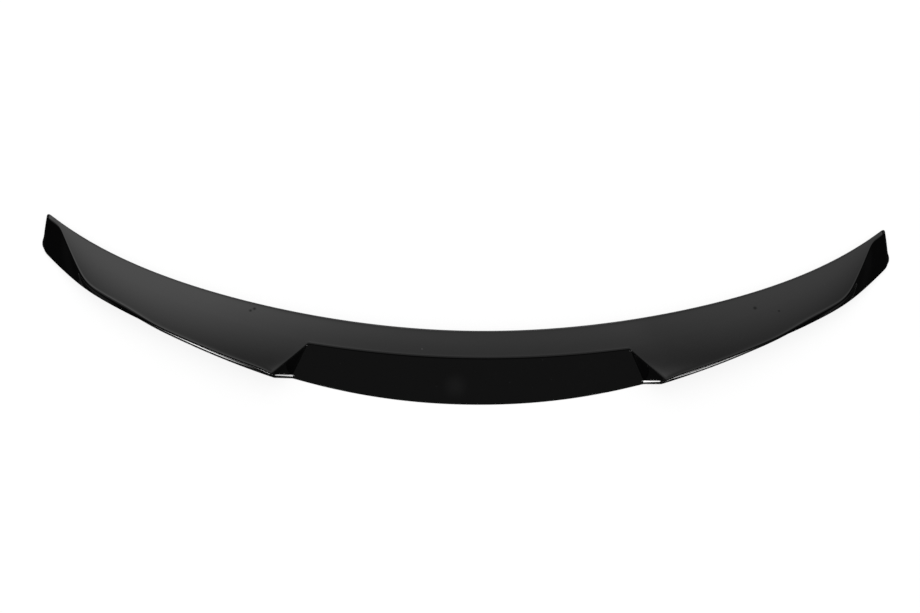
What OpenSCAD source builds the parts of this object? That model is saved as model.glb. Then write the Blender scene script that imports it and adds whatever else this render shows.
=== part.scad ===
// Car rear spoiler: one gloss black moulded shell for the rear edge of a boot lid.
// X runs across the car, +Y points to the front of the car and +Z is up.
// The shell stands on its rear foot line. Its front edge is raised, as it is on a sloping lid.
// It is a loft: rings of points across the chord, joined from the left tip to the right tip.

/* [Overall] */
// Width from tip to tip
width = 1200; // [1000:1:1400]
// Thickness of the moulded wall
wall = 2.8; // [2:0.1:3.4]

/* [Leading edge] */
// How far the leading edge has swept forward a third of the way out
sweep_third = 17.4; // [8:0.1:26]
// How far it has swept forward two thirds of the way out
sweep_two_thirds = 69.5; // [50:0.1:90]
// How far it has swept forward at the tip
sweep_tip = 181.6; // [150:0.1:210]
// Height of the leading edge at the centre
nose_centre = 20; // [15:0.5:26]
// Height of the leading edge at the tips
nose_tip = 6; // [4.5:0.1:9]
// Power of the fall between the two, where a low one falls early
nose_fall = 2.5; // [1.5:0.1:4]
// Thickness of the feathered leading edge
nose_t = 2; // [1.4:0.1:2.6]

/* [Top face] */
// Slope of the top face at its leading edge, in degrees
rise_front = 9.5; // [6:0.1:13]
// Slope of the top face at the inner end of the side lips, in degrees
rise_rear = 13; // [9:0.1:18]

/* [Recess] */
// Half the length of the ridge above the recess
ridge_half = 219.5; // [190:0.5:235]
// Half the length of the foot of the recess
recess_half = 240; // [225:0.5:255]
// Chord of the top face at the centre, from leading edge to ridge
ridge_chord = 45.2; // [35:0.5:55]
// Chord of the top face at the ends of the ridge
ridge_chord_end = 48.2; // [38:0.5:58]
// Whole chord at the centre, from leading edge to foot
centre_chord = 102.1; // [90:0.1:115]
// Whole chord at the ends of the recess
centre_chord_end = 92.5; // [82:0.1:105]
// Power of the change between the two
centre_curve = 2.3; // [1.5:0.1:4]
// Depth of the hollow in the recess face
recess_hollow = 0.6; // [0:0.1:2]

/* [Side lips] */
// Distance from the centre to the inner end of the side lips
lip_start = 265.2; // [255:0.1:290]
// Whole chord at the inner end of the side lips
chord_inner = 97.6; // [88:0.1:108]
// Whole chord a fifth of the way out from there
chord_fifth = 89.8; // [80:0.1:98]
// Whole chord two fifths of the way out
chord_two_fifths = 81.8; // [73:0.1:90]
// Whole chord three fifths of the way out
chord_three_fifths = 75.4; // [67:0.1:84]
// Whole chord four fifths of the way out
chord_four_fifths = 71.3; // [62:0.1:78]
// Whole chord at the tip
chord_tip = 58.7; // [50:0.1:66]
// How far the lip overhangs its foot next to its inner end
overhang = 9.3; // [6:0.1:12]
// How much of the overhang is lost on the way to the tip
overhang_loss = 2.6; // [0:0.1:4]
// How much further the corner at the inner end of the lip reaches back
corner_reach = 3; // [0:0.1:5]
// Distance over which that reach fades out
corner_fade = 11; // [8:0.5:24]
// Width of the chamfer along the lip, seen from above
lip_chamfer = 1.7; // [1:0.1:3]
// Drop of the chamfer along the lip
lip_drop = 1; // [0.6:0.1:2]
// Lean of the lip's edge over the foot line towards the tips, in degrees
lip_lean = 18.5; // [14:0.5:28]
// Distance from the centre to where the edge of the lip starts to fall
fall_start = 450; // [420:1:480]
// Length around there over which the lip changes from its inner to its outer shape
fall_blend = 60; // [40:1:80]
// Height of the edge of the lip at the tip
tip_edge = 3; // [2.4:0.1:4]

/* [Tips] */
// Distance from the tip to where the crest leaves the rear edge
facet_length = 69; // [50:1:100]
// How far the crest moves forward for each millimetre further out
facet_rate = 1.2; // [0.8:0.01:1.3]
// Length over which the crest turns
facet_blend = 3; // [2:0.5:12]
// How much further the crest draws in from the lip's edge towards the tips
crest_in = 4.2; // [0:0.1:8]
// How far the foot draws in under the lip towards the tips
foot_in = 2.5; // [0:0.1:4]
// Chord of the top face that is left at the tip
tip_top = 9; // [6:0.5:10]
// How much further in the tip ends at its leading corner
tip_skew = 3; // [0:0.5:12]
// Radius of the tip's corners in plan
tip_r = 6; // [3:0.5:7]
// Radius over the tip's end
tip_round = 1.6; // [0.5:0.1:2.5]

/* [Edges] */
// Set-back of the rounding along the ridge
ridge_round = 2; // [1:0.1:4]
// Set-back of the rounding along the lip
lip_round = 1; // [0.6:0.1:2]
// Set-back of the rounding along the lower line of the chamfer
edge_round = 0.5; // [0.3:0.1:0.6]
// Set-back of the rounding along the crest at the tips
crest_round = 3; // [1:0.1:4]
// Set-back of the rounding where the recess face meets its end walls
corner_round = 2; // [1:0.1:3]
// Width of the flange that runs along the foot
foot_w = 1.9; // [1.2:0.1:3]
// Width of the flange under the inner end of the side lips
foot_w_inner = 2.5; // [1.6:0.1:3]
// Width of the ramp that rises from the flange under the inner end of the side lips
ramp_inner = 2.2; // [1:0.1:3]
// Width of the ramp further out along the side lips
ramp_side = 1.4; // [0.6:0.1:2]
// Width of the ramp at the tips
ramp_tip = 0.5; // [0.4:0.1:1]
// Width of the ramp at the corner of the recess
ramp_corner = 2.6; // [1:0.1:3]
// Slope of the ramp, in degrees
ramp_slope = 49; // [40:1:60]
// Height of the flange where the return face stands on it
foot_z = 1.7; // [1.4:0.1:2.4]
// Height of the flange at its free edge
foot_edge = 1; // [0.8:0.1:1.3]

/* [Underside] */
// Width of the bonding land behind the leading edge
land_front = 12; // [9:0.5:16]
// Width of the bonding land in front of the foot
land_rear = 11; // [9:0.5:15]
// Width of the bead along the outer side of each land
bead = 1.6; // [1.2:0.1:2.4]
// Depth of each land behind its bead, for the adhesive tape
channel = 0.8; // [0.4:0.1:1]
// Thickness of the rear land
flange_t = 2; // [1.6:0.1:3]
// Distance from the tip to the end of the hollow
tip_solid = 27; // [24:0.5:40]

/* [Hidden] */
half = width / 2;
facet_start = half - facet_length;
chords = [chord_inner, chord_fifth, chord_two_fifths, chord_three_fifths, chord_four_fifths, chord_tip];
// Draft of the small vertical faces underneath
draft = 0.2;
// Draft of the end of the hollow
end_draft = 1;
// Half the spread, at the leading edge, of the rings in front of the corner of the recess
fan = 8;
// Number of rings: along half the recess, across its end wall, along a side and round a tip
recess_rings = 10;
wall_rings = 3;
side_rings = 30;
solid_rings = 3;
tip_rings = 4;
// Number of points on each stretch of the outer section
top_n = 4;
mid_n = 4;
ridge_n = 4;
crest_n = 3;
lip_n = 3;
back_n = 1;
// Number of points on each stretch of the inner section
under_n = 3;
inner_n = 2;
turn_n = 3;
// How closely the points gather at the foot of the recess face
gather = 1.7;
// Set-backs as parts of the thickness of the leading edge, the width of the flange and its height
nose_part = 0.45;
foot_part = 0.3;
edge_part = 0.5;
// Most of the chamfer, and of the chord to the crest, that the rounding of the crest may take up
chamfer_part = 0.4;
crest_part = 0.2;
// Least chord of the front stretch of a side lip's top face
least_front = 5;
// Steps left free behind the last point of the front stretch and of the inner roof
front_gap = 0.6;
roof_gap = 0.4;
// Ratio beyond which the soft ramp is a straight line
soft_limit = 20;

function lerp(a, b, t) = a + (b - a) * t;

// Even curve that is 0 at the centre and passes through three values further out
function through3(t, a, b, c) =
    let (q = t * t, q1 = 1 / 9, q2 = 4 / 9)
    a * q * (q - q2) * (q - 1) / (q1 * (q1 - q2) * (q1 - 1))
    + b * q * (q - q1) * (q - 1) / (q2 * (q2 - q1) * (q2 - 1))
    + c * q * (q - q1) * (q - q2) / ((1 - q1) * (1 - q2));

// Smooth curve through evenly spaced values, with s from 0 to 1
function spline(v, s) =
    let (
        last = len(v) - 1,
        q = min(max(s, 0), 1) * last,
        i = min(floor(q), last - 1),
        t = q - i,
        b = v[i],
        c = v[i + 1],
        a = i > 0 ? v[i - 1] : 2 * b - c,
        d = i < last - 1 ? v[i + 2] : 2 * c - b
    )
    (2 * b + (c - a) * t + (2 * a - 5 * b + 4 * c - d) * t * t + (3 * b - a - 3 * c + d) * t * t * t) / 2;

// Plan and height of the leading edge
function lead_y(x) = through3(abs(x) / half, sweep_third, sweep_two_thirds, sweep_tip);
function nose_z(x) = nose_tip + (nose_centre - nose_tip) * (1 - pow(min(abs(x) / half, 1), nose_fall));

// Height and slope of the top face at a distance u behind the leading edge
function top_z(x, u) =
    nose_z(x) + u * tan(rise_front)
    + (tan(rise_rear) - tan(rise_front)) * u * u / (2 * (chord_inner + overhang));
function top_slope(u) =
    tan(rise_front) + (tan(rise_rear) - tan(rise_front)) * u / (chord_inner + overhang);

// Smooth change from 0 to 1 as t goes from 0 to 1
function smooth(t) = let (q = min(max(t, 0), 1)) q * q * (3 - 2 * q);

// Chord from the leading edge to the foot, in the recess and along the sides
function recess_chord(x) =
    centre_chord - (centre_chord - centre_chord_end) * pow(x / recess_half, centre_curve);
function side_chord(x) = spline(chords, (x - lip_start) / (half - lip_start));
function ridge_u(x) = lerp(ridge_chord, ridge_chord_end, pow(x / ridge_half, 2));

// 0 along the side lips and 1 further out, where the lip hides its foot
function outer_part(x) = smooth((x - fall_start) / fall_blend + 0.5);

// Chord from the leading edge to the foot of a side lip
function foot_u(x) = side_chord(x) - foot_in * outer_part(x);

// Chord from the leading edge to the crest of a side lip
function soft_plus(v, w) = v > soft_limit * w ? v : w * ln(1 + exp(v / w));
function lip_over(x) =
    overhang - overhang_loss * (x - lip_start) / (half - lip_start)
    + corner_reach * exp(-pow((x - lip_start) / corner_fade, 2));
function crest_u(x) =
    let (
        line = side_chord(x) + lip_over(x) - lip_chamfer - crest_in * outer_part(x),
        free = line - facet_rate * soft_plus(x - facet_start, facet_blend)
    )
    tip_top + soft_plus(free - tip_top, facet_blend / 3);

// Height of the edge of a side lip below its chamfer, and chord from the leading edge to it
function edge_z(x) =
    let (t = max(x - fall_start, 0) / (half - fall_start))
    lerp(top_z(x, crest_u(x)) - lip_drop, tip_edge, t * t);
function edge_u(x) =
    side_chord(x) + lerp(lip_over(x), (edge_z(x) - foot_edge) * tan(lip_lean), outer_part(x));

// Widths of the flange and of the ramp above it, along the sides
function side_foot_w(x) = lerp(foot_w_inner, foot_w, smooth((x - lip_start) / fall_blend));
function side_ramp(x) =
    lerp(lerp(ramp_inner, ramp_side, smooth((x - lip_start) / fall_blend)), ramp_tip, outer_part(x));

// A point at a distance u behind the leading edge
function at(x, u, z) = [x, lead_y(x) - u, z];
function on_top(x, u) = at(x, u, top_z(x, u));
function under_top(x, u) = at(x, u, top_z(x, u) - wall * sqrt(1 + pow(top_slope(u), 2)));

// The plane that runs from the lower leading edge to the foot, on which the shell is bonded
function bond_z(x, u, c) = (nose_z(x) - nose_t) * (1 - u / c);

// Points that round the corner b between a and c, set back by r along both sides
function rounded(a, b, c, r, n) =
    let (p = b + (a - b) / norm(a - b) * r, q = b + (c - b) / norm(c - b) * r)
    [for (k = [0 : n - 1]) let (t = k / (n - 1)) p * (1 - t) * (1 - t) + b * 2 * t * (1 - t) + q * t * t];

// Points between a and b at the fractions ts, bowed out by h
function bowed(a, b, h, ts) =
    let (d = b - a, out = [0, d[2], -d[1]] / norm([0, d[1], d[2]]))
    [for (t = ts) lerp(a, b, t) - out * h * 4 * t * (1 - t)];
function evenly(n) = [for (k = [1 : n]) k / (n + 1)];

// Leading edge: its lower corner, and the rounding of its upper corner
function nose_points(x) =
    let (low = at(x, 0, nose_z(x) - nose_t), high = on_top(x, 0), back = on_top(x, 2 * nose_t))
    concat([low], rounded(low, high, back, nose_part * nose_t, 3));

// Top face from the leading edge back to the key point at u1
function front_points(xs, u1) =
    [for (k = [1 : top_n]) let (t = k / (top_n + front_gap)) on_top(lerp(xs[0], xs[1], t), t * u1)];

// Top of the ramp above a flange of width w, as chord and height
function ramp_top(c, w, ramp) = [c - w - ramp, foot_z + ramp * tan(ramp_slope)];

// Foot flange of width w, from the face or ramp above it down to the lower rear edge
function foot_points(x, c, from, w, ramp) =
    let (
        foot = at(x, c - w, foot_z),
        edge = at(x, c, foot_edge),
        low = at(x, c - draft, 0),
        r = w * foot_part
    )
    concat(
        ramp > 0 ? concat([from], rounded(from, foot, edge, r, 2)) : rounded(from, foot, edge, r, 3),
        rounded(foot, edge, low, foot_edge * edge_part, 3),
        [low]
    );

// Outer section through the recess. xs gives the places of its key points across the car:
// leading edge, ridge, crest and foot
function recess_outer(xs, ramp) =
    let (
        c = recess_chord(xs[3]),
        u1 = ridge_u(xs[1]),
        p = ramp_top(c, foot_w, ramp),
        ridge = on_top(xs[1], u1),
        foot = at(xs[3], p[0], p[1]),
        front = front_points(xs, u1),
        n = mid_n + crest_n + lip_n + back_n,
        face = bowed(ridge, foot, -recess_hollow, [for (t = evenly(n)) 1 - pow(1 - t, gather)])
    )
    concat(
        nose_points(xs[0]),
        front,
        rounded(front[top_n - 1], ridge, foot, ridge_round, ridge_n),
        face,
        foot_points(xs[3], c, ramp > 0 ? foot : face[n - 1], foot_w, ramp)
    );

// Outer section through a side lip
function side_outer(xs) =
    let (
        w = side_foot_w(xs[3]),
        ramp = side_ramp(xs[3]),
        c = foot_u(xs[3]),
        p = ramp_top(c, w, ramp),
        u2 = crest_u(xs[2]),
        u1 = max(u2 * ridge_chord_end / (chord_inner + overhang), least_front),
        crest = on_top(xs[2], u2),
        edge = at(xs[2], edge_u(xs[2]), edge_z(xs[2])),
        foot = at(xs[3], p[0], p[1]),
        span = mid_n + ridge_n,
        out = (xs[2] - lip_start) / (half - lip_start),
        r = min(lerp(lip_round, crest_round, out), chamfer_part * norm(edge - crest), crest_part * u2),
        back = bowed(edge, foot, 0, evenly(back_n))
    )
    concat(
        nose_points(xs[0]),
        front_points(xs, u1),
        [for (k = [0 : span - 1]) let (t = k / span) on_top(lerp(xs[1], xs[2], t), lerp(u1, u2 - r, t))],
        rounded(on_top(xs[2], u2 - tip_top / 2), crest, edge, r, crest_n),
        rounded(crest, edge, back[0], edge_round, lip_n),
        back,
        foot_points(xs[3], c, foot, w, ramp)
    );

// Inner corner where the offset of the rear face meets the offset of the top face.
// The rear face runs from the foot or ramp at p up to the edge at u2, z2
function inner_corner(p, u2, z2) =
    let (
        m = (u2 - p[0]) / (z2 - p[1]),
        s = top_slope(u2),
        base = p[0] - p[1] * m - wall * sqrt(1 + m * m),
        z = (z2 + s * (base - u2) - wall * sqrt(1 + s * s)) / (1 - s * m)
    )
    [base + z * m, z];

// Rear land, from the bead along the foot to the bottom of the inner rear face
function rear_land(x, c, p, u2, z2) =
    let (
        m = (u2 - p[0]) / (z2 - p[1]),
        top = channel + flange_t,
        inner = p[0] + (top - p[1]) * m - wall * sqrt(1 + m * m)
    )
    [
        at(x, c - bead, 0),
        at(x, c - bead - draft, channel),
        at(x, c - land_rear, channel),
        at(x, c - land_rear - draft, top),
        at(x, min(inner, c - land_rear - 2 * draft), top)
    ];

// Front land, from the inner top face to the bead along the leading edge
function front_land(x, c) = [
    under_top(x, land_front + draft),
    at(x, land_front, bond_z(x, land_front, c) + channel),
    at(x, bead + draft, bond_z(x, bead, c) + channel),
    at(x, bead, bond_z(x, bead, c))
];

// Inner top face between two chords
function under_points(xs, a, b, ts) = [for (t = ts) under_top(lerp(xs[0], xs[1], t), lerp(a, b, t))];

// Inner section through the recess, from the foot to the leading edge
function recess_inner(xs) =
    let (
        c = recess_chord(xs[3]),
        u1 = ridge_u(xs[1]),
        z1 = top_z(xs[1], u1),
        p = ramp_top(c, foot_w, 0),
        land = rear_land(xs[3], c, p, u1, z1),
        k = inner_corner(p, u1, z1),
        corner = at(xs[1], k[0], k[1]),
        n = inner_n + turn_n + under_n,
        front = front_land(xs[0], c),
        under = under_points([xs[1], xs[0]], k[0], land_front + draft, evenly(under_n))
    )
    concat(
        land,
        bowed(land[4], corner, 0, [for (t = evenly(n)) pow(t, gather)]),
        rounded(land[4], corner, under[0], ridge_round, turn_n),
        under,
        front
    );

// Inner section through a side lip, from the foot to the leading edge
function side_inner(xs) =
    let (
        c = foot_u(xs[3]),
        p = ramp_top(c, side_foot_w(xs[3]), side_ramp(xs[3])),
        u2 = crest_u(xs[2]),
        z2 = top_z(xs[2], u2),
        land = rear_land(xs[3], c, p, u2, z2),
        k = inner_corner(p, u2, z2),
        corner = at(xs[2], k[0], k[1]),
        u1 = lerp(land_front, k[0], ridge_chord_end / (chord_inner + overhang)),
        front = front_land(xs[0], c),
        under = under_points([xs[1], xs[0]], u1, land_front + draft, evenly(under_n)),
        span = under_n + turn_n,
        roof = [for (j = [1 : span])
            let (t = j / (span + roof_gap)) under_top(lerp(xs[2], xs[1], t), lerp(k[0], u1, t))]
    )
    concat(
        land,
        bowed(land[4], corner, 0, evenly(inner_n)),
        rounded(land[4], corner, roof[0], ridge_round, turn_n),
        roof,
        under,
        front
    );
inner_count = 5 + inner_n + 2 * turn_n + 2 * under_n + 4;

// Closed underside of a solid tip, as many points as an inner section has
function closed_inner(xs) =
    let (c = foot_u(xs[3]))
    [for (k = [0 : inner_count - 1])
        let (t = k / (inner_count - 1), x = lerp(xs[3], xs[0], t), u = lerp(c - bead, bead, t))
        at(x, u, bond_z(x, u, c))];

// Places across the car of the key points of a ring
recess_end = [ridge_half - fan, ridge_half, recess_half, recess_half];
recess_last = recess_end - [fan / 2, 1, 1, 1] * corner_round;
lip_first = [ridge_half + fan, ridge_half + ridge_round, lip_start, lip_start];
tip_last = [half - tip_skew, half - tip_skew, half - tip_skew, half];
inner_shift = [1, 1, 1, 1] * wall;
hollow_last = tip_last - [1, 1, 1, 1] * tip_solid;
function side_places(g) = lip_first + (tip_last - lip_first) * g;
function hollow_places(g) = lip_first + inner_shift + (hollow_last - lip_first - inner_shift) * g;

// Whole rings: the outer section from the leading edge to the foot, then the inner one back
function recess_ring(xs, ramp = 0) =
    concat(recess_outer(xs, ramp), recess_inner(xs + inner_shift * xs[1] / ridge_half));
function hollow_ring(g, h) = concat(side_outer(side_places(g)), side_inner(hollow_places(h)));
function solid_ring(xs) = concat(side_outer(xs), closed_inner(xs));

// Ring drawn in round the tip's corners, at an angle a from 0 to 90
function tip_ring(a) =
    let (
        xs = tip_last - [1, 1, 1, 1] * tip_r * (1 - sin(a)),
        c = foot_u(xs[3]),
        d = tip_r * (1 - cos(a)),
        f = 1 - (1 - cos(a)) * tip_round / nose_tip
    )
    [for (p = solid_ring(xs))
        let (u = lead_y(p[0]) - p[1], s = u / c, z = bond_z(p[0], u, c))
        [p[0], p[1] - d * (1 - 2 * s), z + (p[2] - z) * f]];

hollow_g = 1 - tip_solid / (half - tip_skew - lip_start);
solid_g = 1 - tip_r / (half - tip_skew - lip_start);
first_g = corner_round / (half - lip_start);
hollow_count = side_rings - solid_rings - 1;

// End wall of the recess, rounded along its foot and along its crest
wall_foot = recess_ring(recess_end, ramp_corner);
wall_crest = hollow_ring(0, 0);
blend = corner_round / norm(on_top(lip_start, crest_u(lip_start)) - at(recess_half, centre_chord_end, 0));
beside = recess_ring(recess_last);
beyond = hollow_ring(first_g, first_g / hollow_g);
function between(t) = lerp(wall_foot, wall_crest, t);

right_half = concat(
    [for (i = [1 : recess_rings - 1]) recess_ring(recess_last * i / recess_rings)],
    [beside],
    [wall_foot / 2 + beside / 4 + between(blend) / 4],
    [for (i = [0 : wall_rings]) between(lerp(blend, 1 - blend, i / wall_rings))],
    [wall_crest / 2 + between(1 - blend) / 4 + beyond / 4],
    [beyond],
    [for (i = [1 : hollow_count])
        let (g = lerp(first_g, hollow_g, i / hollow_count)) hollow_ring(g, g / hollow_g)],
    [solid_ring(side_places(hollow_g + end_draft / (half - lip_start)))],
    [for (i = [1 : solid_rings]) solid_ring(side_places(lerp(hollow_g, solid_g, i / (solid_rings + 1))))],
    [for (i = [0 : tip_rings]) tip_ring(90 * i / tip_rings)]
);
function mirrored(ring) = [for (p = ring) [-p[0], p[1], p[2]]];
half_count = len(right_half);
rings = concat(
    [for (i = [half_count - 1 : -1 : 0]) mirrored(right_half[i])],
    [recess_ring([0, 0, 0, 0])],
    right_half
);

// The origin is under the middle of the whole outline
ys = [for (r = rings) for (p = r) p[1]];
y_middle = (max(ys) + min(ys)) / 2;

// Closed surface through the rings, with a flat cap on each tip
module loft(rings) {
    n = len(rings[0]);
    m = len(rings);
    outer = n - inner_count;
    skin = [for (i = [0 : m - 2]) for (j = [0 : n - 1])
        let (a = i * n + j, b = i * n + (j + 1) % n, c = b + n, d = a + n)
        each (i < m / 2 - 1 ? [[a, c, b], [a, d, c]] : [[a, d, b], [b, d, c]])];
    function cap(o) = [for (j = [0 : outer - 2])
        let (
            a = o + j,
            b = o + j + 1,
            p = round(lerp(n - 1, outer, j / (outer - 1))),
            q = round(lerp(n - 1, outer, (j + 1) / (outer - 1)))
        )
        each (p == q ? [[a, o + p, b]] : [[a, o + p, b], [b, o + p, o + q]])];
    function flipped(faces) = [for (f = faces) [f[0], f[2], f[1]]];
    polyhedron(
        [for (r = rings) each r],
        concat(skin, flipped(cap(0)), cap((m - 1) * n))
    );
}

// The whole moulding
module spoiler_shell() {
    color("#0b0b0c")
        translate([0, -y_middle, 0])
            loft(rings);
}

spoiler_shell();
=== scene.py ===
# Looks of the car rear spoiler: one gloss black moulded shell on a white floor.
# The shell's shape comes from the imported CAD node. Everything is in metres, in the CAD frame.
import math

import bmesh
import bpy
from mathutils import Matrix, Vector


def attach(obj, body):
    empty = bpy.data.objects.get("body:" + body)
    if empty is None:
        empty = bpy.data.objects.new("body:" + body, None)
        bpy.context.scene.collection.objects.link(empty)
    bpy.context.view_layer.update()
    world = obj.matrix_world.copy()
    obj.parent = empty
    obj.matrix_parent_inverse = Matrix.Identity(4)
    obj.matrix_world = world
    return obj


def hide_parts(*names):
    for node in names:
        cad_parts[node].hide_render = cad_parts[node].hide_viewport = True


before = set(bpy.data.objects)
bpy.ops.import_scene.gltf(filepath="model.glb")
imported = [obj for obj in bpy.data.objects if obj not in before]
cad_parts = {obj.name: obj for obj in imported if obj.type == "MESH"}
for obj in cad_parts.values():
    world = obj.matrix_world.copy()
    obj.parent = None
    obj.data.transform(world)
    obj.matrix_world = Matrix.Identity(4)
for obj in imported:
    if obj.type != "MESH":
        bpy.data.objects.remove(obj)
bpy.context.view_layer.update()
scene = bpy.context.scene

MM = 0.001

# Camera: behind the spoiler and above it, as in the photograph. Angles are in degrees, the lens and
# the sensor in mm
AZIMUTH = -4.006
ELEVATION = 65.0
ROLL = 4.642
DISTANCE = 2480.4 * MM
AIM = Vector((-12.41, 1.525, 15.0)) * MM
LENS = 70.0
SENSOR_WIDTH = 36.0
CLIP_START = 0.05
CLIP_END = 50.0

# A spot of painted reflection and marks on the top face that the photograph shows, by centre and
# radius in mm
REFLECTION_SPOT = (-18.0, -117.0, 12.5)
REFLECTION_SPOT_RADIUS = 22.0
SPECK = (-64.4, -68.4, 25.9)
SPECK_RADIUS = 1.6
SMUDGES = (
    ((-301.0, -12.5, 20.0), 3.4),
    ((-295.8, -9.3, 19.4), 3.8),
    ((398.2, 5.0, 19.7), 4.2),
    ((431.0, 0.0, 21.9), 2.6),
)

# The shell's section: how many points a ring has, and where its sharper lines lie on it
RING_POINTS = 53
OUTER_POINTS = 30
NOSE_LOW = 0
RAMP_TOP = 23
FOOT_LOW = 29
REAR_LAND = (30, 31, 32, 33, 34)
FRONT_LAND = (49, 50, 51, 52)

# How sharp those lines are, and how often the faces between them are divided
LINE_CREASES = {NOSE_LOW: 0.9, FOOT_LOW: 0.5, RAMP_TOP: 0.6}
LAND_CREASE = 0.85
DIVISIONS = 2

# Reading the mesh, in metres: how far apart points are that count as one, how far from the centre
# line a point of the middle ring may lie, and how much height counts against depth at its start
SAME_POINT = 2e-6
ON_THE_CENTRE = 1e-6
HEIGHT_SHARE = 0.01

# Roughness: the polish, what haze, fine haze and the painted reflection spot add to it, and the
# satin underside
POLISH = 0.035
POLISH_HAZE = 0.02
POLISH_FINE = 0.012
POLISH_REFLECTION_SPOT = 0.03
SATIN = 0.38
SATIN_FINE = 0.08

# Colour: the black, and what dust, haze, the painted reflection spot, the speck and the underside
# add to it
BLACK = 0.0008
PALE_DUST = 0.012
PALE_HAZE = 0.0006
PALE_REFLECTION_SPOT = 0.004
PALE_SPECK = 0.05
PALE_INSIDE = 0.006
TINTS = (("Red", 0.98), ("Green", 0.99), ("Blue", 1.03))

# Reflection: its level, and what a smudge and the underside take from it
IOR = 1.5
SHINE = 0.5
SHINE_SMUDGE = -0.35
SHINE_INSIDE = -0.15

# Textures: scale per metre, detail and roughness, and the range in which haze and dust show
HAZE_NOISE = (9.0, 3.0, 0.5)
HAZE_RANGE = (0.42, 0.72)
FINE_NOISE = (70.0, 4.0, 0.6)
FINE_RANGE = (0.45, 0.8)
DUST_SCALE = 160.0
DUST_DOT = (0.05, 0.13, 1.0, 0.0)
DUST_KEPT = (0.93, 0.96)
PEEL_NOISE = (260.0, 2.0, 0.5)
PEEL_SHARE = 0.25
GRAIN_NOISE = (1400.0, 2.0, 0.5)
BUMP_STRENGTH = 0.35
BUMP_HEIGHT = 0.02 * MM

# Floor: its size in metres, its grey, its glow, and the pool of painted shade that reflections show
# round the shell, by distance and level
FLOOR_SIZE = 12
FLOOR_GREY = 0.2
FLOOR_GLOW = 0.82
FLOOR_SHADE_POOL = (1.5, 3.5, 0.04, 1.0)

# Studio that glossy surfaces see, by angle in degrees. A range is from, to, level at from and level
# at to, or just from and to where the level goes from 0 to 1.
# Front panel: its lower edge is soft and lies highest a little right of the centre
PANEL_MIDDLE = 2.25
PANEL_EDGE = 45.1
PANEL_BOW = 0.104
PANEL_BOW_LIMIT = 9.0
PANEL_BASE = 0.17
PANEL_LOWER = (-3.9, 4.7)
PANEL_UPPER = (46.0, 48.5, 1.0, 0.0)
PANEL_LEFT = (-17.0, -12.0)
PANEL_RIGHT = (10.5, 15.0, 1.0, 0.0)
PANEL_MORE_LEFT = (-4.7, 4.1, 1.42, 1.0)
PANEL_LESS_RIGHT = (5.2, 5.8, 0.0, -0.2)
# Lower panel along the front horizon, which the rounded leading edge shows. The levels of its top
# are the angle that it reaches up to
FRONT_SIDES = (28.0, 36.0, 1.0, 0.0)
FRONT_TOP = (1.5, 4.5, 44.8, 41.5)
FRONT_SOFT = (-3.0, 0.0, 1.3, 0.0)
# Narrow panel overhead
ABOVE_RISE = (46.0, 50.0, 0.0, 0.42)
ABOVE_FALL = (60.0, 84.0, 1.0, 0.0)
ABOVE_SIDES = (12.0, 20.0, 1.0, 0.0)
# Pale rear wall, and a pale wall on either side, which starts a little above the floor. Its foot is
# given by how steeply the view rises, from 0 level to 1 straight up
REAR_WALL = (95.0, 112.0, 0.03, 0.13)
SIDE_WALLS = (48.0, 62.0)
SIDE_WALL_FOOT = (0.12, 0.4)
SIDE_WALL_LEVEL = (90.0, 120.0, 0.02, 0.2)

# Upright light cards behind the spoiler, which the undercut faces of its rear edge reflect. In mm:
# name, left end and right end (x, y, top), bottom, where the light rises and falls (x from, x to),
# the share of light left of the rise, strength.
# Two cards stand in line with the recess corner across from them, so that it sees them edge on.
CARDS = (
    ("card_left_outer", (-2200.0, -1278.0, 540.0), (-500.0, -450.0, 190.0), 20.0,
     (-1160.0, -860.0), (-800.0, -500.0), 0.3, 27.0),
    ("card_left_inner", (-340.0, -450.0, 190.0), (-270.0, -450.0, 190.0), 75.0,
     (-340.0, -330.0), (-280.0, -270.0), 0.0, 15.5),
    ("card_right_inner", (283.0, -423.0, 190.0), (361.0, -477.0, 190.0), 75.0,
     (283.0, 295.0), (349.0, 361.0), 0.0, 26.0),
    ("card_right_outer", (500.0, -450.0, 310.0), (900.0, -450.0, 310.0), 160.0,
     (500.0, 610.0), (640.0, 900.0), 0.0, 22.0),
)


def make_camera():
    """The camera of the photograph, turned to the azimuth, elevation and roll."""
    azimuth = math.radians(AZIMUTH)
    elevation = math.radians(ELEVATION)
    back = Vector((
        math.sin(azimuth) * math.cos(elevation),
        -math.cos(azimuth) * math.cos(elevation),
        math.sin(elevation),
    ))
    side = Vector((0, 0, 1)).cross(back).normalized()
    up = back.cross(side)
    upright = Matrix((side, up, back)).transposed().to_4x4()
    roll = Matrix.Rotation(math.radians(ROLL), 4, "Z")
    data = bpy.data.cameras.new("camera")
    data.lens = LENS
    data.sensor_width = SENSOR_WIDTH
    data.clip_start = CLIP_START
    data.clip_end = CLIP_END
    camera = bpy.data.objects.new("camera", data)
    scene.collection.objects.link(camera)
    camera.matrix_world = Matrix.Translation(AIM + back * DISTANCE) @ upright @ roll
    scene.camera = camera


# Reading the shell's rings

def ring_in_the_middle(bm):
    """The ring at the centre of the car, from the lower leading edge upwards."""
    middle = [v for v in bm.verts if abs(v.co.x) < ON_THE_CENTRE]
    members = set(middle)
    first = max(middle, key=lambda v: v.co.y - HEIGHT_SHARE * v.co.z)

    def beside(v):
        return [e.other_vert(v) for e in v.link_edges if e.other_vert(v) in members]

    ring = [first, max(beside(first), key=lambda v: v.co.z)]
    while len(ring) < RING_POINTS:
        ring.append(next(v for v in beside(ring[-1]) if v not in ring[-2:]))
    return ring


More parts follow.
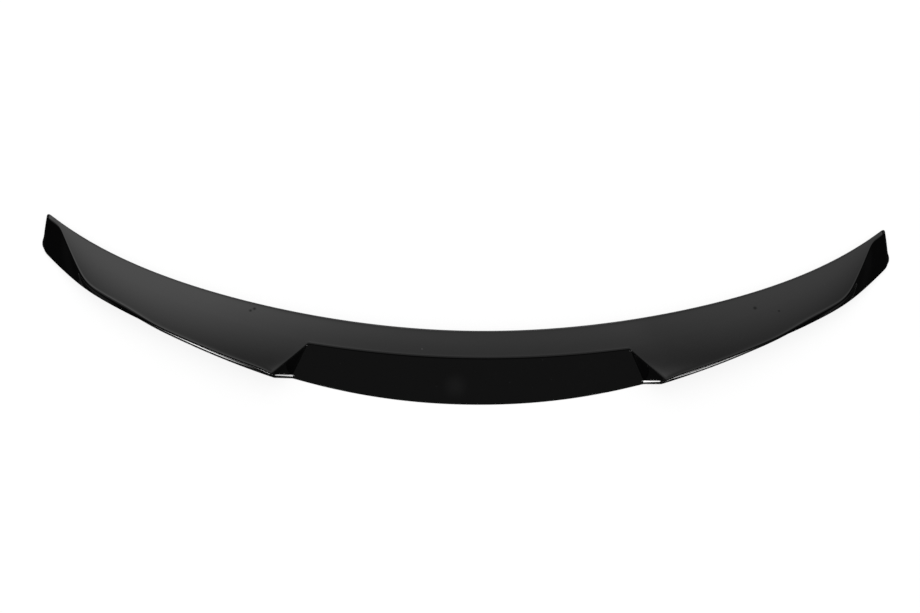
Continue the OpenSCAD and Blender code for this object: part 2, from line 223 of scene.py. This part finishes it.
def next_ring(bm, ring, behind, outward):
    """The ring that the triangles on one side of this ring lead to, in the same order."""
    turned = ring[1:] + ring[:1]
    ahead = []
    for a, b in zip(ring, turned):
        corners = [v for f in bm.edges.get((a, b)).link_faces for v in f.verts if v not in (a, b)]
        if behind:
            corners = [v for v in corners if v not in behind]
        ahead.append(max(corners, key=lambda v: v.co.x * outward))
    straight = sum((a.co - c.co).length_squared for a, c in zip(ring, ahead))
    slanted = sum((b.co - c.co).length_squared for b, c in zip(turned, ahead))
    return ahead if straight < slanted else ahead[-1:] + ahead[:-1]


def rings_of(node):
    """The points of the shell's rings, from the left tip to the right tip."""
    bm = bmesh.new()
    bm.from_mesh(node.data)
    bmesh.ops.remove_doubles(bm, verts=bm.verts, dist=SAME_POINT)
    each_way = (len(bm.verts) // RING_POINTS - 1) // 2
    middle = ring_in_the_middle(bm)
    sides = []
    for outward in (-1, 1):
        rings = []
        ring = middle
        behind = set()
        for _ in range(each_way):
            ahead = next_ring(bm, ring, behind, outward)
            behind = set(ring)
            ring = ahead
            rings.append(ring)
        sides.append(rings)
    rings = sides[0][::-1] + [middle] + sides[1]
    points = [[v.co.copy() for v in ring] for ring in rings]
    bm.free()
    return points


def shell_faces(ring_count):
    """Four-sided faces from ring to ring, then the two ends, each closed across its ring."""
    n = RING_POINTS
    faces = []
    for i in range(ring_count - 1):
        for j in range(n):
            a = i * n + j
            b = i * n + (j + 1) % n
            faces.append((a, b, b + n, a + n))
    last = OUTER_POINTS - 1
    for start, turn in ((0, -1), ((ring_count - 1) * n, 1)):
        for j in range(last):
            p, q = (round(n - 1 + (OUTER_POINTS - n + 1) * k / last) for k in (j, j + 1))
            corners = [start + j, start + j + 1, start + q] + ([start + p] if p != q else [])
            faces.append(tuple(corners[::turn]))
    return faces


def make_shell(node):
    """A smooth copy of the shell, made of four-sided faces between its rings."""
    rings = rings_of(node)
    verts = [tuple(p) for ring in rings for p in ring]
    mesh = bpy.data.meshes.new("spoiler_shell_moulded")
    mesh.from_pydata(verts, [], shell_faces(len(rings)))
    mesh.validate()
    bm = bmesh.new()
    bm.from_mesh(mesh)
    bmesh.ops.recalc_face_normals(bm, faces=bm.faces)
    bm.verts.ensure_lookup_table()
    crease = bm.edges.layers.float.new("crease_edge")
    lines = dict(LINE_CREASES)
    lines.update({j: LAND_CREASE for j in REAR_LAND + FRONT_LAND})
    for i in range(len(rings) - 1):
        for j, sharpness in lines.items():
            here = i * RING_POINTS + j
            edge = bm.edges.get((bm.verts[here], bm.verts[here + RING_POINTS]))
            edge[crease] = sharpness
    bm.to_mesh(mesh)
    bm.free()
    inside = mesh.attributes.new("inside", "FLOAT", "FACE")
    skin = (len(rings) - 1) * RING_POINTS
    for k, polygon in enumerate(mesh.polygons):
        polygon.use_smooth = True
        inside.data[k].value = 1.0 if k < skin and k % RING_POINTS >= OUTER_POINTS - 1 else 0.0
    shell = bpy.data.objects.new("spoiler_shell_moulded", mesh)
    scene.collection.objects.link(shell)
    smooth = shell.modifiers.new("smooth", "SUBSURF")
    smooth.levels = DIVISIONS
    smooth.render_levels = DIVISIONS
    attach(shell, "root")
    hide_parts("spoiler_shell")
    return shell


# Materials

class Tree:
    """Short ways to add and link shader nodes."""

    def __init__(self, owner):
        owner.use_nodes = True
        self.nodes = owner.node_tree.nodes
        self.links = owner.node_tree.links

    def add(self, kind, **settings):
        node = self.nodes.new(kind)
        for name, value in settings.items():
            setattr(node, name, value)
        return node

    def put(self, value, socket):
        """Set an input to a number, or link it to another node's output."""
        if isinstance(value, bpy.types.NodeSocket):
            self.links.new(value, socket)
        else:
            socket.default_value = value

    def math(self, operation, a, b=0.0, c=0.0, clamp=False):
        node = self.add("ShaderNodeMath", operation=operation, use_clamp=clamp)
        for value, socket in zip((a, b, c), node.inputs):
            self.put(value, socket)
        return node.outputs[0]

    def first(self, colour):
        """The red channel of a colour."""
        node = self.add("ShaderNodeSeparateColor")
        self.put(colour, node.inputs[0])
        return node.outputs[0]

    def step(self, value, low, high, to_low=0.0, to_high=1.0):
        """Smooth change from to_low to to_high as the value goes from low to high."""
        node = self.add("ShaderNodeMapRange", interpolation_type="SMOOTHSTEP")
        for name, number in (
            ("Value", value),
            ("From Min", low),
            ("From Max", high),
            ("To Min", to_low),
            ("To Max", to_high),
        ):
            self.put(number, node.inputs[name])
        return node.outputs["Result"]

    def mix(self, share, a, b):
        """A value that goes from a to b as the share goes from 0 to 1."""
        node = self.add("ShaderNodeMix")
        self.put(share, node.inputs[0])
        self.put(a, node.inputs[2])
        self.put(b, node.inputs[3])
        return node.outputs[0]


def spot(tree, place, centre, radius):
    """1 at a point on the shell, falling smoothly to 0 at the radius."""
    away = tree.add("ShaderNodeVectorMath", operation="DISTANCE")
    tree.put(place, away.inputs[0])
    away.inputs[1].default_value = Vector(centre) * MM
    return tree.step(away.outputs["Value"], 0.0, radius * MM, 1.0, 0.0)


def noise(tree, place, scale, detail, roughness):
    """Smooth random values over the surface."""
    node = tree.add("ShaderNodeTexNoise")
    tree.put(place, node.inputs["Vector"])
    node.inputs["Scale"].default_value = scale
    node.inputs["Detail"].default_value = detail
    node.inputs["Roughness"].default_value = roughness
    return node.outputs["Fac"]


def gloss_black():
    """Polished black plastic with a faint orange peel, dust, a few marks and a spot of painted
    reflection. Satin underneath.
    """
    material = bpy.data.materials.new("gloss_black")
    tree = Tree(material)
    shader = tree.nodes["Principled BSDF"]
    shader.inputs["IOR"].default_value = IOR
    place = tree.add("ShaderNodeTexCoord").outputs["Object"]
    inside = tree.add("ShaderNodeAttribute", attribute_name="inside").outputs["Fac"]

    # Haze: wide, faint patches where the polish is a little less sharp
    haze = tree.step(noise(tree, place, *HAZE_NOISE), *HAZE_RANGE)
    fine = tree.step(noise(tree, place, *FINE_NOISE), *FINE_RANGE)
    polish = tree.math("MULTIPLY_ADD", haze, POLISH_HAZE, POLISH)
    polish = tree.math("MULTIPLY_ADD", fine, POLISH_FINE, polish)
    # Painted reflection: a round spot on the recess, a little rougher and paler in colour
    reflection_spot = spot(tree, place, REFLECTION_SPOT, REFLECTION_SPOT_RADIUS)
    polish = tree.math("MULTIPLY_ADD", reflection_spot, POLISH_REFLECTION_SPOT, polish)
    satin = tree.math("MULTIPLY_ADD", fine, SATIN_FINE, SATIN)
    tree.put(tree.mix(inside, polish, satin), shader.inputs["Roughness"])

    # Dust: specks and short fibres too small to see one by one
    specks = tree.add("ShaderNodeTexVoronoi", feature="F1")
    tree.put(place, specks.inputs["Vector"])
    specks.inputs["Scale"].default_value = DUST_SCALE
    dot = tree.step(specks.outputs["Distance"], *DUST_DOT)
    kept = tree.step(tree.first(specks.outputs["Color"]), *DUST_KEPT)
    dust = tree.math("MULTIPLY", dot, kept)
    speck = spot(tree, place, SPECK, SPECK_RADIUS)
    pale = tree.math("MULTIPLY_ADD", dust, PALE_DUST, BLACK)
    pale = tree.math("MULTIPLY_ADD", tree.math("MULTIPLY", haze, fine), PALE_HAZE, pale)
    # Painted reflection: the spot's paler colour
    pale = tree.math("MULTIPLY_ADD", reflection_spot, PALE_REFLECTION_SPOT, pale)
    pale = tree.math("MULTIPLY_ADD", speck, PALE_SPECK, pale)
    pale = tree.math("MULTIPLY_ADD", inside, PALE_INSIDE, pale)
    colour = tree.add("ShaderNodeCombineColor")
    for channel, tint in TINTS:
        tree.put(tree.math("MULTIPLY", pale, tint), colour.inputs[channel])
    tree.put(colour.outputs[0], shader.inputs["Base Color"])

    # Marks: greasy smudges that dull the reflection
    marks = 0.0
    for centre, radius in SMUDGES:
        marks = tree.math("ADD", marks, spot(tree, place, centre, radius), clamp=True)
    shine = tree.math("MULTIPLY_ADD", marks, SHINE_SMUDGE, SHINE)
    shine = tree.math("MULTIPLY_ADD", inside, SHINE_INSIDE, shine)
    tree.put(shine, shader.inputs["Specular IOR Level"])

    # Orange peel on the outside, a grained mould surface on the underside
    peel = noise(tree, place, *PEEL_NOISE)
    grain = noise(tree, place, *GRAIN_NOISE)
    height = tree.mix(inside, tree.math("MULTIPLY", peel, PEEL_SHARE), grain)
    bump = tree.add("ShaderNodeBump")
    bump.inputs["Strength"].default_value = BUMP_STRENGTH
    bump.inputs["Distance"].default_value = BUMP_HEIGHT
    tree.put(height, bump.inputs["Height"])
    tree.put(bump.outputs["Normal"], shader.inputs["Normal"])
    return material


def white_floor():
    """White to the camera and in reflections, which also show a darker pool of painted shade round
    the shell.
    """
    material = bpy.data.materials.new("white_floor")
    tree = Tree(material)
    tree.nodes.remove(tree.nodes["Principled BSDF"])
    path = tree.add("ShaderNodeLightPath")
    camera = path.outputs["Is Camera Ray"]
    glossy = path.outputs["Is Glossy Ray"]
    shiny = tree.math("MAXIMUM", glossy, path.outputs["Is Transmission Ray"])
    away = tree.add("ShaderNodeVectorMath", operation="LENGTH")
    tree.put(tree.add("ShaderNodeTexCoord").outputs["Object"], away.inputs[0])
    # Painted shade: near the shell, reflections see the floor darker
    unshaded_floor = tree.step(away.outputs["Value"], *FLOOR_SHADE_POOL)
    level = tree.math("MULTIPLY_ADD", shiny, tree.math("SUBTRACT", unshaded_floor, 1.0), 1.0)
    paper = tree.add("ShaderNodeBsdfDiffuse")
    grey = tree.math("MULTIPLY", level, FLOOR_GREY)
    shade = tree.add("ShaderNodeCombineColor")
    for channel in ("Red", "Green", "Blue"):
        tree.put(grey, shade.inputs[channel])
    tree.put(shade.outputs[0], paper.inputs["Color"])
    seen = tree.math("MULTIPLY", tree.math("MAXIMUM", camera, shiny), level)
    glow = tree.add("ShaderNodeEmission")
    tree.put(tree.math("MULTIPLY", seen, FLOOR_GLOW), glow.inputs["Strength"])
    both = tree.add("ShaderNodeAddShader")
    tree.put(paper.outputs[0], both.inputs[0])
    tree.put(glow.outputs[0], both.inputs[1])
    tree.put(both.outputs[0], tree.nodes["Material Output"].inputs["Surface"])
    return material


def make_floor():
    """The white floor, which the shell's rear foot stands on."""
    bpy.ops.mesh.primitive_plane_add(size=FLOOR_SIZE, location=(0, 0, 0))
    floor = bpy.context.object
    floor.name = "floor"
    floor.data.materials.append(white_floor())


def make_world():
    """White all round, except that glossy surfaces see a dim studio with soft panels."""
    world = bpy.data.worlds.new("studio")
    scene.world = world
    tree = Tree(world)
    place = tree.add("ShaderNodeTexCoord")
    split = tree.add("ShaderNodeSeparateXYZ")
    tree.put(place.outputs["Generated"], split.inputs[0])
    x, y, z = split.outputs
    # Angle from the front horizon over the top to the rear horizon, and the angle to the side
    over = tree.math("DEGREES", tree.math("ARCTAN2", z, y))
    side = tree.math("DEGREES", tree.math("ARCSINE", x))
    far = tree.math("ABSOLUTE", side)

    # Front panel
    off = tree.math("SUBTRACT", side, PANEL_MIDDLE)
    bow = tree.math("MULTIPLY", tree.math("MULTIPLY", off, off), PANEL_BOW)
    bow = tree.math("MINIMUM", bow, PANEL_BOW_LIMIT)
    edge = tree.math("SUBTRACT", over, tree.math("SUBTRACT", PANEL_EDGE, bow))
    lower = tree.step(edge, *PANEL_LOWER)
    more = tree.step(side, *PANEL_MORE_LEFT)
    less = tree.step(side, *PANEL_LESS_RIGHT)
    panel = tree.math("MULTIPLY_ADD", lower, tree.math("ADD", more, less), PANEL_BASE)
    panel = tree.math("MULTIPLY", panel, tree.step(over, *PANEL_UPPER))
    left = tree.step(side, *PANEL_LEFT)
    right = tree.step(side, *PANEL_RIGHT)
    panel = tree.math("MULTIPLY", tree.math("MULTIPLY", left, right), panel)

    # Lower panel
    near = tree.step(far, *FRONT_SIDES)
    top = tree.step(tree.math("ABSOLUTE", off), *FRONT_TOP)
    beyond = tree.math("SUBTRACT", over, top)
    front = tree.math("MULTIPLY", tree.step(beyond, *FRONT_SOFT), near)

    # Dim room: the panel overhead, the rear wall and the side walls
    above = tree.math("MULTIPLY", tree.step(over, *ABOVE_RISE), tree.step(over, *ABOVE_FALL))
    narrow = tree.step(far, *ABOVE_SIDES)
    rear = tree.step(over, *REAR_WALL)
    walls = tree.math("MULTIPLY", tree.step(far, *SIDE_WALLS), tree.step(z, *SIDE_WALL_FOOT))
    walls = tree.math("MULTIPLY", walls, tree.step(over, *SIDE_WALL_LEVEL))
    room = tree.math("ADD", tree.math("MULTIPLY_ADD", above, narrow, rear), walls)
    total = tree.math("ADD", tree.math("ADD", panel, room), front)
    path = tree.add("ShaderNodeLightPath")
    glossy = path.outputs["Is Glossy Ray"]
    white = tree.math("SUBTRACT", 1.0, glossy)
    strength = tree.math("MULTIPLY_ADD", total, glossy, white)
    background = tree.nodes["Background"]
    background.inputs["Color"].default_value = (1, 1, 1, 1)
    tree.put(strength, background.inputs["Strength"])


def make_card(name, left_end, right_end, bottom, rising, falling, share, strength):
    """An upright light card behind the spoiler that only glossy surfaces see, with soft sides."""
    corners = (left_end[:2] + (bottom,), right_end[:2] + (bottom,), right_end, left_end)
    mesh = bpy.data.meshes.new(name)
    mesh.from_pydata([Vector(corner) * MM for corner in corners], [], [(3, 2, 1, 0)])
    card = bpy.data.objects.new(name, mesh)
    scene.collection.objects.link(card)
    material = bpy.data.materials.new(name)
    tree = Tree(material)
    tree.nodes.remove(tree.nodes["Principled BSDF"])
    split = tree.add("ShaderNodeSeparateXYZ")
    tree.put(tree.add("ShaderNodeTexCoord").outputs["Object"], split.inputs[0])
    x = split.outputs[0]
    rise = tree.step(x, rising[0] * MM, rising[1] * MM, share, 1.0)
    fall = tree.step(x, falling[0] * MM, falling[1] * MM, 1.0, 0.0)
    light = tree.math("MULTIPLY", tree.math("MULTIPLY", rise, fall), strength)
    glow = tree.add("ShaderNodeEmission")
    tree.put(light, glow.inputs["Strength"])
    tree.put(glow.outputs[0], tree.nodes["Material Output"].inputs["Surface"])
    mesh.materials.append(material)
    card.visible_camera = False
    card.visible_diffuse = False
    card.visible_transmission = False
    card.visible_volume_scatter = False
    card.visible_shadow = False


make_camera()
shell = make_shell(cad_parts["spoiler_shell"])
shell.data.materials.append(gloss_black())
make_floor()
make_world()
for card in CARDS:
    make_card(*card)

scene.view_settings.view_transform = "Standard"
